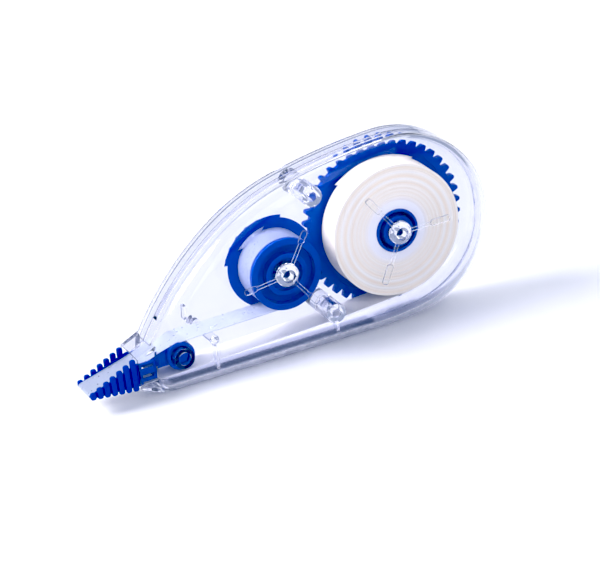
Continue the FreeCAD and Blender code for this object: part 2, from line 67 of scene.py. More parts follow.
# Places and sizes read from the frame
GEAR_AXIS = joint_axis("gear_spin")
REEL_AXIS = joint_axis("take_up_spin")
ROLL_LOW, ROLL_HIGH = node_box("tape_roll")
CORE_LOW, CORE_HIGH = node_box("supply_core")
GEAR_LOW, GEAR_HIGH = node_box("supply_gear")
REEL_LOW, REEL_HIGH = node_box("take_up_reel")
FILM_LOW, FILM_HIGH = node_box("used_film_roll")
RING_LOW, RING_HIGH = node_box("clutch_ring")
TAPE_FRONT_Y, TAPE_BACK_Y = ROLL_LOW.y, ROLL_HIGH.y
ROLL_RADIUS = (ROLL_HIGH.x - ROLL_LOW.x) / 2
CORE_RADIUS = (CORE_HIGH.x - CORE_LOW.x) / 2
FILM_RADIUS = (FILM_HIGH.x - FILM_LOW.x) / 2
REEL_FLANGE_RADIUS = (REEL_HIGH.z - REEL_LOW.z) / 2
GEAR_BACK_Y = GEAR_HIGH.y
HALF_THICK = node_box("front_cover")[0].y * -1

# Cutters reach past the object
FAR = 80.0
LIP_CLEAR_REACH = 60.0
BORE_REACH = 10.0
CUTTER_EDGE = 0.01

# Case
FACE_WALL = 1.0
RIM_WALL = 0.9
FACE_ROUND = 3.4
CAVITY_ROUND = 2.5
ROOT_OVERLAP = 0.1
SHOULDER_ROUND = 3.6
REAR_CENTRE = (21.3, 16.95)
REAR_RADIUS = 16.35
FLAT_END_X = 15.0
TOP_START_DEG = 93.15
TOP_ARCS = ((105.0, 10.37), (37.9, 22.4), (53.5, 23.2))
OUTLINE_STEP = 0.45
QUARTER_TURNS = tuple(math.pi / 8 * step for step in range(5))
ROUND_STEPS = 18
SEAM_GAP = 0.015
SEAM_GROOVE = 0.1
GROOVE_OVERRUN = 1.0
LIP_DEPTH = 0.8
LIP_OUTER_INSET = 0.5
LIP_PLAY = 0.05
LIP_STEP_OVERRUN = 0.6
LIP_STEP_BACK_Y = 1.0
LIP_INNER_PLAY = 0.02
LIP_ROOT_Y = 0.3
LIP_START_X = -23.0
COLLAR_MOUTH = (-28.7, 2.0, 7.75)
COLLAR_ROOT = (-24.9, 0.45, 9.5)
COLLAR_HALF_WIDTH = 4.0
COLLAR_WALL = 0.55
COLLAR_ROUND = 0.5
PASSAGE_OVERRUN = 1.2

# Axle posts, snap posts and ribs inside the case
AXLE_RADIUS = 2.0
AXLE_BORE = 0.6
AXLE_SHOULDER_Y = -4.15
AXLE_NOSE_RADIUS = 1.08
AXLE_NOSE_Y = -5.3
AXLE_HOLE_RADIUS = 1.15
THRUST_BOSS_RADIUS = 3.0
THRUST_FACE_Y = 3.75
GEAR_SPOKES = ((1.5, 126.0, 244.5), 9.3)
REEL_SPOKES = ((59.0, 187.0, 307.0), 8.0)
SPOKE_HUB_OVERLAP = 0.4
SPOKE_WIDTH = 0.6
SPOKE_FACE_Y = -4.35
SPOKE_PAD_START = 5.7
SPOKE_PAD_WIDTH = 1.1
SPOKE_PAD_FACE_Y = -4.2
SPOKE_ROOT = 0.5
SPOKE_ROUND = 0.16
SNAP_POSTS = ((5.2, 27.6), (6.9, 5.85))
SNAP_RADIUS = 1.75
SNAP_BORE = 0.8
SNAP_MEET_Y = 0.3
SNAP_PIN_END_Y = -2.6
SNAP_PIN_PLAY = 0.03
POST_END_GAP = 0.05
GUIDE_POST = (-15.2, 7.6)
GUIDE_RADIUS = 0.8
GUIDE_END_Y = -4.5
RIB_WIDTH = 0.5
RIB_FOOT_LIFT = 1.6
RIB_GAP = 0.2
RIB_OVERLAP = 0.2
WALL_RIB_GAP_Y = 1.0
WALL_RIB_LIFT = 1.2
WALL_RIB_HEIGHT = 2.6

# Reels and gears
RUNNING_CLEARANCE = 0.05
CORE_WALL = 0.5
GEAR_TEETH = 43
PINION_TEETH = 21
PRESSURE_DEG = 20.0
ADDENDUM = 0.44
DEDENDUM = 0.62
TOOTH_THINNING = 0.14
TOOTH_ROOT_FLARE = 0.1
TOOTH_TIP_ROUND = 0.05
FLANK_STEPS = 6
GEAR_EDGE = 0.07
GEAR_FRONT_Y = 2.35
GEAR_WEB_INSET = 0.25
GEAR_BACK_POCKET_EXTRA = 0.05
PINION_OVERLAP = 0.05
GEAR_RIM_INNER = 12.6
GEAR_SHELF_WIDTH = 0.6
GEAR_SLEEVE_RADIUS = 2.75
REEL_DRUM_RADIUS = 6.0
REEL_DRUM_INNER = 5.2
REEL_LIP_RADIUS = 6.33
REEL_LIP_BACK_Y = -3.2
REEL_HUB_RADIUS = 3.7
REEL_COUNTERBORE = 2.9
REEL_COUNTERBORE_Y = -3.0
REEL_WEB_Y = (-2.7, -2.0)
REEL_FLANGE_FRONT_Y = 2.05
REEL_HUB_REACH = 0.4
TURNED_STEPS = 160
PIN_STEPS = 96
TAPE_TURN = 0.14
TAPE_UNEVENNESS = 0.05
FILM_TURN = 0.06
FILM_UNEVENNESS = 0.08
FIT_GAP = 0.01

# Nozzle
TIP_CENTRE = (-37.2, 3.4)
TIP_RADIUS = 0.35
HEEL = (-28.3, 5.8)
HEEL_RADIUS = 3.0
WEDGE_END_X = -28.0
CHEEK_THICK = 0.3
CHEEK_OVERLAP = 0.05
CHEEK_OUTLINE = ((-36.9, 3.0), (-28.9, 2.75), (-28.4, 2.75), (-28.4, 6.9), (-36.9, 3.9))
FIN_COUNT = 7
FIN_PITCH = 1.25
FIN_WIDTH = 1.0
FIN_DEPTH = 0.45
FIN_CORNER = 0.44
FIN_EDGE = 0.16
FIN_FIRST_X = -29.55
FIN_TOP_LINE = ((-29.55, 7.85), (-37.4, 4.0))
FIN_FOOT_LINE = ((-29.55, 2.15), (-37.4, 2.9))
SHANK_OUTLINE = ((-26.0, 4.3), (-24.4, 4.6), (-21.6, 4.6), (-20.9, 7.9), (-23.6, 7.2), (-26.0, 6.5))
SHANK_Y = (-2.4, 1.4)
SHANK_BARS = ((3.4, 4.0), (4.6, 5.7), (6.3, 6.8))
SHANK_BAR_X = (-28.6, -25.3)
SHANK_BAR_DEPTH = 0.35
SHANK_EDGE = 0.08
SHANK_BRIDGE_X = (-26.0, -25.3)
SHANK_BRIDGE_Z = (3.4, 6.6)
SHANK_BRIDGE_INSET = 0.01
BOSS_CENTRE = (-20.9, 5.95)
BOSS_RADIUS = 2.4
BOSS_PROUD = 0.2
BOSS_BORE = 1.85
BOSS_MOUTH_Y = -5.0
BOSS_MOUTH_MARGIN = 0.1
BOSS_FLOOR_Y = 0.6
BOSS_PIN_RADIUS = 1.1
BOSS_PIN_FRONT_Y = -3.2
NOZZLE_POST_RADIUS = 1.78
NOZZLE_POST_BORE = 1.17

# Ribbons
RIBBON_THICK = 0.07
RIBBON_GAP = 0.03
RIBBON_WAVER = 0.03
RUN_STEP = 1.5
BEND_STEP = 0.2
TIP_STEP = 0.05

# Shading of smooth faces
SHARP_DEG = 19.0
FLAT_WEIGHT = 80
SQUARE_TO_Y = 0.999999
NEARLY_SQUARE = 0.95

# Colours as (darker, lighter) pairs, how clear the bare film is, and the radii between which
# the extra white at the tape roll's core fades out
BLUE_TONES = ((0.002, 0.042, 0.30), (0.003, 0.058, 0.39))
WOUND_FILM_TONES = ((0.30, 0.34, 0.55), (0.46, 0.50, 0.70))
LOOSE_FILM_TONES = ((0.66, 0.71, 0.90), (0.80, 0.84, 0.95))
WOUND_FILM_CLEARNESS = 0.2
LOOSE_FILM_CLEARNESS = 0.6
WHITE_ZONE = (5.0, 6.2)

# Camera: where it looks from, as azimuth, elevation and roll, and what it looks at
CAMERA_AZIMUTH = -21.73
CAMERA_ELEVATION = 24.04
CAMERA_ROLL = -7.44
CAMERA_DISTANCE = 498.1
CAMERA_LENS = 180.0
AIM_SHIFT = (2.36, -1.44)
AIM_DEPTH = -4.1

# Stage
FLOOR_SIZE = 3.0
LAMP_AIM_HEIGHT = 0.016
LIGHT_BOUNCES = 48
GLOSSY_BOUNCES = 24


# ---------------------------------------------------------------- side-view geometry

def toward(place, distance, degrees):
    angle = math.radians(degrees)
    return (place[0] + distance * math.cos(angle), place[1] + distance * math.sin(angle))


def bearing(start, end):
    return math.degrees(math.atan2(end[1] - start[1], end[0] - start[0]))


def distance_between(start, end):
    return math.hypot(end[0] - start[0], end[1] - start[1])


def arc_run(centre, radius, start_deg, end_deg, step):
    """Places along an arc, its last one left to whatever follows."""
    length = abs(math.radians(end_deg - start_deg)) * radius
    count = max(2, round(length / step))
    return [toward(centre, radius, start_deg + (end_deg - start_deg) * i / count) for i in range(count)]


def line_run(start, end, step):
    count = max(1, round(distance_between(start, end) / step))
    return [mix(start, end, i / count) for i in range(count)]


def mix(start, end, share):
    return tuple(a + (b - a) * share for a, b in zip(start, end))


def case_outline(inset):
    """The case's side view, drawn anticlockwise, inset by moving each tangent arc inwards."""
    offset = REAR_CENTRE[0] - FLAT_END_X
    rise = REAR_CENTRE[1] - REAR_RADIUS
    sweep_radius = (offset ** 2 / rise + REAR_CENTRE[1] + REAR_RADIUS) / 2
    sweep_centre = (FLAT_END_X, sweep_radius)
    join_deg = bearing(sweep_centre, REAR_CENTRE)
    arcs = [(sweep_centre, sweep_radius, -90, join_deg)]
    arcs.append((REAR_CENTRE, REAR_RADIUS, join_deg, TOP_START_DEG))
    place = toward(REAR_CENTRE, REAR_RADIUS, TOP_START_DEG)
    angle = TOP_START_DEG
    for radius, sweep in TOP_ARCS:
        centre = toward(place, -radius, angle)
        arcs.append((centre, radius, angle, angle + sweep))
        angle += sweep
        place = toward(centre, radius, angle)
    end_x = place[0]
    last_centre, last_radius, last_start, _ = arcs[-1]
    corner_x = end_x + SHOULDER_ROUND
    reach = last_radius - SHOULDER_ROUND
    corner_z = last_centre[1] + math.sqrt(reach ** 2 - (corner_x - last_centre[0]) ** 2)
    top_corner = (corner_x, corner_z)
    low_corner = (corner_x, SHOULDER_ROUND)
    turn_deg = bearing(last_centre, top_corner)
    arcs[-1] = (last_centre, last_radius, last_start, turn_deg)
    places = []
    for centre, radius, start, end in arcs:
        spots = len(arc_run(centre, radius, start, end, OUTLINE_STEP))
        places += [toward(centre, radius - inset, start + (end - start) * i / spots) for i in range(spots)]
    for centre, start, end in ((top_corner, turn_deg, 180.0), (low_corner, 180.0, 270.0)):
        spots = len(arc_run(centre, SHOULDER_ROUND, start, end, OUTLINE_STEP))
        places += [toward(centre, SHOULDER_ROUND - inset, start + (end - start) * i / spots)
                   for i in range(spots)]
        if centre is top_corner:
            places += line_run((end_x + inset, corner_z), (end_x + inset, SHOULDER_ROUND), OUTLINE_STEP)
    places += line_run((corner_x, inset), (FLAT_END_X, inset), OUTLINE_STEP * 4)
    return places


def inset_polygon(places, inset):
    """Each side of an anticlockwise outline moved inwards, corner by corner."""
    moved = []
    count = len(places)
    for i in range(count):
        before = Vector(places[i]) - Vector(places[i - 1])
        after = Vector(places[(i + 1) % count]) - Vector(places[i])
        normal = Vector((-before.y, before.x)).normalized() + Vector((-after.y, after.x)).normalized()
        normal.normalize()
        lean = max(0.5, abs(normal.dot(Vector((-after.y, after.x)).normalized())))
        moved.append(tuple(Vector(places[i]) + normal * inset / lean))
    return moved


def rounded_corners(places, radius, steps=4):
    """Corners of a closed outline cut back by radius and bridged with a short curve."""
    rounded = []
    count = len(places)
    for i in range(count):
        corner = Vector(places[i])
        back = Vector(places[i - 1]) - corner
        ahead = Vector(places[(i + 1) % count]) - corner
        cut = min(radius, back.length * 0.45, ahead.length * 0.45)
        start = corner + back.normalized() * cut
        end = corner + ahead.normalized() * cut
        for step in range(steps + 1):
            share = step / steps
            place = start * (1 - share) ** 2 + corner * 2 * share * (1 - share) + end * share ** 2
            rounded.append(tuple(place))
    return rounded


def anticlockwise(places):
    area = sum(a[0] * b[1] - b[0] * a[1] for a, b in zip(places, places[1:] + places[:1]))
    return places if area > 0 else places[::-1]


# ---------------------------------------------------------------- meshes

def new_object(name, bm):
    bmesh.ops.recalc_face_normals(bm, faces=bm.faces)
    mesh = bpy.data.meshes.new(name)
    bm.to_mesh(mesh)
    bm.free()
    piece = bpy.data.objects.new(name, mesh)
    bpy.context.scene.collection.objects.link(piece)
    return piece


def loft(name, rings, cap=True):
    """Skins rings of equal length, each a list of (x, y, z); closes the ends or joins them."""
    bm = bmesh.new()
    rows = [[bm.verts.new(Vector(spot) * MM) for spot in ring] for ring in rings]
    pairs = list(zip(rows, rows[1:]))
    if not cap:
        pairs.append((rows[-1], rows[0]))
    for near, far in pairs:
        for i in range(len(near)):
            j = (i + 1) % len(near)
            bm.faces.new((near[i], near[j], far[j], far[i]))
    if cap:
        bm.faces.new(rows[0])
        bm.faces.new(rows[-1])
    return new_object(name, bm)


def turned(name, centre, profile, soften=0.08, steps=TURNED_STEPS):
    """A closed (radius, y) profile turned about an axis along Y, its corners softened."""
    loop = rounded_corners(profile, soften, 3) if soften else list(profile)
    bm = bmesh.new()
    rows = []
    for radius, y in loop:
        row = []
        for i in range(steps if radius > 1e-6 else 1):
            angle = 2 * math.pi * i / steps
            spot = (centre[0] + radius * math.cos(angle), y, centre[1] + radius * math.sin(angle))
            row.append(bm.verts.new(Vector(spot) * MM))
        rows.append(row)
    for near, far in zip(rows, rows[1:] + rows[:1]):
        join_rows(bm, near, far)
    return new_object(name, bm)


def join_rows(bm, near, far):
    steps = max(len(near), len(far))
    for i in range(steps):
        j = (i + 1) % steps
        corners = [near[i % len(near)], near[j % len(near)], far[j % len(far)], far[i % len(far)]]
        kept = [vert for k, vert in enumerate(corners) if vert is not corners[k - 1]]
        if len(kept) > 2:
            bm.faces.new(kept)


def solid_disc(name, centre, radius, front_y, back_y, soften=0.1, steps=64):
    """A plain round pin or plug, rounded at its ends."""
    rim = min(soften, (back_y - front_y) * 0.4)
    rings = []
    for inset, y in ((rim, front_y), (rim * 0.3, front_y + rim * 0.3), (0, front_y + rim),
                     (0, back_y - rim), (rim * 0.3, back_y - rim * 0.3), (rim, back_y)):
        ring = [toward(centre, radius - inset, 360 * i / steps) for i in range(steps)]
        rings.append([(x, y, z) for x, z in ring])
    return loft(name, rings)


def slab(name, inset, half_thick, rounding):
    """The case's outline as a solid whose two faces run into the rim in a quarter round."""
    rings = []
    for side in (-1, 1):
        part = []
        for step in range(ROUND_STEPS + 1):
            angle = math.pi / 4 * (1 - math.cos(math.pi * step / ROUND_STEPS))
            depth = half_thick - rounding * (1 - math.cos(angle))
            edge = inset + rounding * (1 - math.sin(angle))
            part.append([(x, side * depth, z) for x, z in case_outline(edge)])
        rings += part if side < 0 else part[::-1]
    return loft(name, rings)


def band(name, outer_inset, inner_inset, front_y, back_y):
    """A ring that follows the case's outline between two insets."""
    outer = case_outline(outer_inset)
    inner = case_outline(inner_inset)
    rings = [[(x, y, z) for x, z in run] for run, y in
             ((outer, front_y), (outer, back_y), (inner, back_y), (inner, front_y))]
    return loft(name, rings, cap=False)


def prism(name, places, front_y, back_y, edge=0.06):
    """A side-view outline pushed through from front to back, its edges softened."""
    places = anticlockwise(list(places))
    rim = [(edge * (1 - math.sin(turn)), edge * (1 - math.cos(turn))) for turn in QUARTER_TURNS]
    levels = [(inset, front_y + depth) for inset, depth in rim]
    levels += [(inset, back_y - depth) for inset, depth in rim[::-1]]
    rings = [[(x, y, z) for x, z in inset_polygon(places, inset)] for inset, y in levels]
    return loft(name, rings)


def cuboid(name, x_range, y_range, z_range, edge=0.06):
    places = [(x_range[0], z_range[0]), (x_range[1], z_range[0]),
              (x_range[1], z_range[1]), (x_range[0], z_range[1])]
    return prism(name, rounded_corners(places, edge * 1.5, 3), y_range[0], y_range[1], edge)


def combine(piece, tools, operation):
    """Boolean of one solid with others, which are used up."""
    for tool in tools:
        modifier = piece.modifiers.new("combine", "BOOLEAN")
        modifier.operation = operation
        modifier.solver = "MANIFOLD"
        modifier.object = tool
        apply_modifiers(piece)
        bpy.data.objects.remove(tool)
    return piece


def apply_modifiers(piece):
    bpy.context.view_layer.update()
    graph = bpy.context.evaluated_depsgraph_get()
    mesh = bpy.data.meshes.new_from_object(piece.evaluated_get(graph))
    old = piece.data
    piece.modifiers.clear()
    piece.data = mesh
    mesh.name = piece.name
    bpy.data.meshes.remove(old)


def smooth(piece):
    """Smooth shading that keeps real edges sharp and large flats flat."""
    mesh = piece.data
    mesh.polygons.foreach_set("use_smooth", [True] * len(mesh.polygons))
    mesh.set_sharp_from_angle(angle=math.radians(SHARP_DEG))
    modifier = piece.modifiers.new("flats", "WEIGHTED_NORMAL")
    modifier.keep_sharp = True
    modifier.weight = FLAT_WEIGHT
    apply_modifiers(piece)
    square_up_flats(piece.data)


def square_up_flats(mesh):
    """Corners on a face square to Y take exactly that direction, so clear walls show no ripples."""
    flat_spots = set()
    for polygon in mesh.polygons:
        if abs(polygon.normal.y) > SQUARE_TO_Y:
            flat_spots.update((vertex, polygon.normal.y > 0) for vertex in polygon.vertices)
    normals = [corner.vector.copy() for corner in mesh.corner_normals]
    for polygon in mesh.polygons:
        if abs(polygon.normal.y) > NEARLY_SQUARE:
            facing = polygon.normal.y > 0
            for loop in polygon.loop_indices:
                if (mesh.loops[loop].vertex_index, facing) in flat_spots:
                    normals[loop] = Vector((0, 1 if facing else -1, 0))
    mesh.normals_split_custom_set(normals)


def finish_piece(piece, node, body, material):
    """Shades a rebuilt piece, gives it its material, hangs it on its body and hides the CAD node it stands
    for.
    """
    smooth(piece)
    piece.data.materials.clear()
    piece.data.materials.append(material)
    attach(piece, body)
    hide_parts(node)


# ---------------------------------------------------------------- case

def collar(name, shrink, reach):
    """The tapered neck round the nozzle's shank, or with shrink and reach the passage through it."""
    mouth_x, mouth_low, mouth_high = COLLAR_MOUTH
    root_x, root_low, root_high = COLLAR_ROOT
    half_width = COLLAR_HALF_WIDTH - shrink
    rings = []
    for x, low, high in ((mouth_x - reach, mouth_low + shrink, mouth_high - shrink),
                         (root_x + reach, root_low + shrink, root_high - shrink)):
        corners = [(-half_width, low), (half_width, low), (half_width, high), (-half_width, high)]
        rings.append([(x, y, z) for y, z in rounded_corners(corners, COLLAR_ROUND, 5)])
    return loft(name, rings)


def case_shell():
    """Both halves in one: the hollow case with its collar and the fine groove along the seam."""
    shell = slab("shell", 0.0, HALF_THICK, FACE_ROUND)
    combine(shell, [collar("neck", 0.0, 0.0)], "UNION")
    cavity = slab("cavity", RIM_WALL, HALF_THICK - FACE_WALL, CAVITY_ROUND)
    combine(cavity, [collar("passage", COLLAR_WALL, PASSAGE_OVERRUN)], "UNION")
    combine(shell, [cavity], "DIFFERENCE")
    groove = band("groove", -GROOVE_OVERRUN, SEAM_GROOVE, -SEAM_GROOVE, SEAM_GROOVE)
    combine(shell, [groove], "DIFFERENCE")
    return shell


def half_of(shell, name, side):
    """A copy of the shell cut off at the seam; side is -1 for the front and 1 for the back."""
    half = shell.copy()
    half.data = shell.data.copy()
    half.name = name
    bpy.context.scene.collection.objects.link(half)
    y_range = (-FAR, -SEAM_GAP) if side < 0 else (SEAM_GAP, FAR)
    combine(half, [cuboid("keep", (-FAR, FAR), y_range, (-FAR, FAR), CUTTER_EDGE)], "INTERSECT")
    return half


def seam_lip(name, outer_inset, inner_inset, front_y, back_y):
    """The ring along the seam, left open at the nozzle's end."""
    lip = band(name, outer_inset, inner_inset, front_y, back_y)
    clear = cuboid("clear", (-LIP_CLEAR_REACH, LIP_START_X), (-BORE_REACH, BORE_REACH),
                   (-BORE_REACH, LIP_CLEAR_REACH), CUTTER_EDGE)
    return combine(lip, [clear], "DIFFERENCE")


def spoke_bars(axis, spokes):
    """Thin raised spokes round a hub, each with a wider and taller pad at its outer end."""
    degrees, reach = spokes
    inner_face = FACE_WALL - HALF_THICK
    bars = []
    for angle in degrees:
        for start, width, face_y in ((AXLE_RADIUS - SPOKE_HUB_OVERLAP, SPOKE_WIDTH, SPOKE_FACE_Y),
                                     (SPOKE_PAD_START, SPOKE_PAD_WIDTH, SPOKE_PAD_FACE_Y)):
            along = Vector((math.cos(math.radians(angle)), math.sin(math.radians(angle))))
            across = Vector((-along.y, along.x)) * width / 2
            base = Vector(axis)
            corners = [base + along * start - across, base + along * reach - across,
                       base + along * reach + across, base + along * start + across]
            outline = rounded_corners([tuple(spot) for spot in corners], width * 0.4, 4)
            bars.append(prism("spoke", outline, inner_face - SPOKE_ROOT, face_y, SPOKE_ROUND))
    return bars


def upright_rib(name, post, drop, root):
    """A rib of the front cover below a post, whose top is at drop under the post's centre."""
    x, z = post
    return cuboid(name, (x - RIB_WIDTH / 2, x + RIB_WIDTH / 2), (root, TAPE_FRONT_Y - RIB_GAP),
                  (RIM_WALL + RIB_FOOT_LIFT, z - drop))


def front_cover(shell, material):
    inner_face = FACE_WALL - HALF_THICK
    root = inner_face - ROOT_OVERLAP
    cover = half_of(shell, "clear_front_cover", -1)
    step = seam_lip("step", LIP_OUTER_INSET - LIP_PLAY, RIM_WALL + LIP_STEP_OVERRUN,
                    -LIP_DEPTH - LIP_PLAY, LIP_STEP_BACK_Y)
    combine(cover, [step], "DIFFERENCE")
    adds = spoke_bars(GEAR_AXIS, GEAR_SPOKES) + spoke_bars(REEL_AXIS, REEL_SPOKES)
    for axis in (GEAR_AXIS, REEL_AXIS):
        adds.append(solid_disc("hub", axis, AXLE_RADIUS, root, AXLE_SHOULDER_Y - RUNNING_CLEARANCE))
    for post in SNAP_POSTS:
        adds.append(solid_disc("socket", post, SNAP_RADIUS, root, SNAP_MEET_Y, 0.2))
    adds.append(solid_disc("nozzle_post", BOSS_CENTRE, NOZZLE_POST_RADIUS, root,
                           BOSS_FLOOR_Y - POST_END_GAP, 0.15))
    adds.append(upright_rib("guide_rib", GUIDE_POST, GUIDE_RADIUS + RIB_GAP, root))
    adds.append(upright_rib("snap_rib", SNAP_POSTS[1], SNAP_RADIUS - RIB_OVERLAP, root))
    combine(cover, adds, "UNION")
    cuts = [solid_disc("hole", axis, AXLE_HOLE_RADIUS, -HALF_THICK - 1, -1.0)
            for axis in (GEAR_AXIS, REEL_AXIS)]
    cuts += [solid_disc("bore", post, SNAP_BORE, inner_face, SNAP_MEET_Y + 1) for post in SNAP_POSTS]
    cuts.append(solid_disc("bore", BOSS_CENTRE, NOZZLE_POST_BORE, inner_face, BOSS_FLOOR_Y + 1))
    combine(cover, cuts, "DIFFERENCE")
    finish_piece(cover, "front_cover", "case", material)


def back_cover(shell, material):
    root = HALF_THICK - FACE_WALL + ROOT_OVERLAP
    cover = half_of(shell, "clear_back_cover", 1)
    adds = [seam_lip("lip", LIP_OUTER_INSET, RIM_WALL - LIP_INNER_PLAY, -LIP_DEPTH, LIP_ROOT_Y)]
    for axis in (GEAR_AXIS, REEL_AXIS):
        adds.append(solid_disc("axle", axis, AXLE_RADIUS, AXLE_SHOULDER_Y, root, 0.12, PIN_STEPS))
        adds.append(solid_disc("nose", axis, AXLE_NOSE_RADIUS, AXLE_NOSE_Y, root, 0.25, PIN_STEPS))
        adds.append(solid_disc("thrust", axis, THRUST_BOSS_RADIUS, THRUST_FACE_Y, root, 0.1, PIN_STEPS))
    for post in SNAP_POSTS:
        adds.append(solid_disc("pillar", post, SNAP_RADIUS, SNAP_MEET_Y + POST_END_GAP, root, 0.15))
        adds.append(solid_disc("pin", post, SNAP_BORE - SNAP_PIN_PLAY, SNAP_PIN_END_Y, root, 0.3))
    adds.append(solid_disc("guide", GUIDE_POST, GUIDE_RADIUS, GUIDE_END_Y, root, 0.2))
    rib_x = GUIDE_POST[0] - 2 * GUIDE_RADIUS
    rib_low = GUIDE_POST[1] + WALL_RIB_LIFT
    adds.append(cuboid("wall_rib", (rib_x - RIB_WIDTH / 2, rib_x + RIB_WIDTH / 2),
                       (TAPE_BACK_Y + WALL_RIB_GAP_Y, root), (rib_low, rib_low + WALL_RIB_HEIGHT)))
    combine(cover, adds, "UNION")
    bores = [solid_disc("bore", axis, AXLE_BORE, AXLE_SHOULDER_Y, HALF_THICK + 1)
             for axis in (GEAR_AXIS, REEL_AXIS)]
    combine(cover, bores, "DIFFERENCE")
    finish_piece(cover, "back_cover", "case", material)


# ---------------------------------------------------------------- gears and reels

def gear_module():
    """Tooth size at which both wheels mesh at the distance between their axes."""
    return 2 * distance_between(GEAR_AXIS, REEL_AXIS) / (GEAR_TEETH + PINION_TEETH)


def tooth_outline(centre, teeth, first_tooth_deg):
    """Involute teeth, each flared at its root and softened at its tip."""
    pitch = gear_module() * teeth / 2
    base = pitch * math.cos(math.radians(PRESSURE_DEG))
    pitch_roll = math.tan(math.radians(PRESSURE_DEG))
    thickness = math.pi * gear_module() / 2 - TOOTH_THINNING
    half_angle = thickness / 2 / pitch + pitch_roll - math.atan(pitch_roll)
    root = pitch - DEDENDUM
    low = max(base, root)
    first_roll = math.sqrt((low / base) ** 2 - 1)
    last_roll = math.sqrt(((pitch + ADDENDUM) / base) ** 2 - 1)
    flank = [(root, half_angle - first_roll + math.atan(first_roll) + TOOTH_ROOT_FLARE / root)]
    for i in range(FLANK_STEPS + 1):
        roll = first_roll + (last_roll - first_roll) * i / FLANK_STEPS
        flank.append((base * math.sqrt(1 + roll ** 2), half_angle - roll + math.atan(roll)))
    tip, tip_angle = flank[-1]
    flank[-1] = (tip - TOOTH_TIP_ROUND, tip_angle)
    flank.append((tip, tip_angle * 0.6))
    places = []
    for tooth in range(teeth):
        middle = math.radians(first_tooth_deg) + tooth * 2 * math.pi / teeth
        shape = [(radius, middle - angle) for radius, angle in flank]
        shape += [(radius, middle + angle) for radius, angle in reversed(flank)]
        places += [toward(centre, radius, math.degrees(angle)) for radius, angle in shape]
    return places


def supply_gear(material):
    teeth = tooth_outline(GEAR_AXIS, GEAR_TEETH, bearing(GEAR_AXIS, REEL_AXIS))
    gear = prism("blue_supply_gear", teeth, GEAR_FRONT_Y, GEAR_BACK_Y, GEAR_EDGE)
    shelf = CORE_RADIUS + GEAR_SHELF_WIDTH
    pockets = []
    for front_y, back_y in ((GEAR_FRONT_Y - 1, GEAR_FRONT_Y + GEAR_WEB_INSET),
                            (GEAR_BACK_Y - GEAR_WEB_INSET - GEAR_BACK_POCKET_EXTRA, GEAR_BACK_Y + 1)):
        profile = [(shelf, front_y), (GEAR_RIM_INNER, front_y), (GEAR_RIM_INNER, back_y), (shelf, back_y)]
        pockets.append(turned("pocket", GEAR_AXIS, profile, 0.05))
    combine(gear, pockets, "DIFFERENCE")
    sleeve = solid_disc("sleeve", GEAR_AXIS, GEAR_SLEEVE_RADIUS, GEAR_LOW.y, GEAR_BACK_Y, 0.1, PIN_STEPS)
    combine(gear, [sleeve], "UNION")
    bore = solid_disc("bore", GEAR_AXIS, AXLE_RADIUS + RUNNING_CLEARANCE, -BORE_REACH, BORE_REACH,
                      0.1, PIN_STEPS)
    combine(gear, [bore], "DIFFERENCE")
    finish_piece(gear, "supply_gear", "drive_gear", material)


def take_up_reel(material):
    """Drum, front lip, back flange and pinion as one moulding."""
    front = REEL_LOW.y
    hub_back = GEAR_FRONT_Y + REEL_HUB_REACH
    web_front, web_back = REEL_WEB_Y
    bore = AXLE_RADIUS + RUNNING_CLEARANCE
    profile = [(bore, REEL_COUNTERBORE_Y), (REEL_COUNTERBORE, REEL_COUNTERBORE_Y), (REEL_COUNTERBORE, front),
               (REEL_HUB_RADIUS, front), (REEL_HUB_RADIUS, web_front), (REEL_DRUM_INNER, web_front),
               (REEL_DRUM_INNER, front), (REEL_LIP_RADIUS, front), (REEL_LIP_RADIUS, REEL_LIP_BACK_Y),
               (REEL_DRUM_RADIUS, REEL_LIP_BACK_Y), (REEL_DRUM_RADIUS, REEL_FLANGE_FRONT_Y),
               (REEL_FLANGE_RADIUS, REEL_FLANGE_FRONT_Y), (REEL_FLANGE_RADIUS, GEAR_FRONT_Y),
               (REEL_DRUM_INNER, GEAR_FRONT_Y), (REEL_DRUM_INNER, web_back), (REEL_HUB_RADIUS, web_back),
               (REEL_HUB_RADIUS, hub_back), (bore, hub_back)]
    reel = turned("blue_take_up_reel", REEL_AXIS, profile, 0.09)
    gap_deg = bearing(REEL_AXIS, GEAR_AXIS) + 180.0 / PINION_TEETH
    teeth = tooth_outline(REEL_AXIS, PINION_TEETH, gap_deg)
    pinion = prism("pinion", teeth, GEAR_FRONT_Y - PINION_OVERLAP, GEAR_BACK_Y, GEAR_EDGE)
    hole = solid_disc("hole", REEL_AXIS, bore, -BORE_REACH, BORE_REACH, 0.1, TURNED_STEPS)
    combine(pinion, [hole], "DIFFERENCE")
    combine(reel, [pinion], "UNION")
    finish_piece(reel, "take_up_reel", "take_up", material)


def supply_core(material):
    inner = CORE_RADIUS - CORE_WALL
    outer = CORE_RADIUS - FIT_GAP
    profile = [(inner, CORE_LOW.y), (outer, CORE_LOW.y), (outer, CORE_HIGH.y), (inner, CORE_HIGH.y)]
    core = turned("blue_supply_core", GEAR_AXIS, profile, 0.12)
    finish_piece(core, "supply_core", "supply_spool", material)


def clutch_ring(material):
    section = (RING_HIGH.y - RING_LOW.y) / 2
    middle_y = (RING_HIGH.y + RING_LOW.y) / 2
    radius = (RING_HIGH.x - RING_LOW.x) / 2 - section
    profile = [toward((radius, middle_y), section, 30 * i) for i in range(12)]
    ring = turned("rubber_clutch_ring", GEAR_AXIS, profile, 0, PIN_STEPS)
    finish_piece(ring, "clutch_ring", "supply_spool", material)


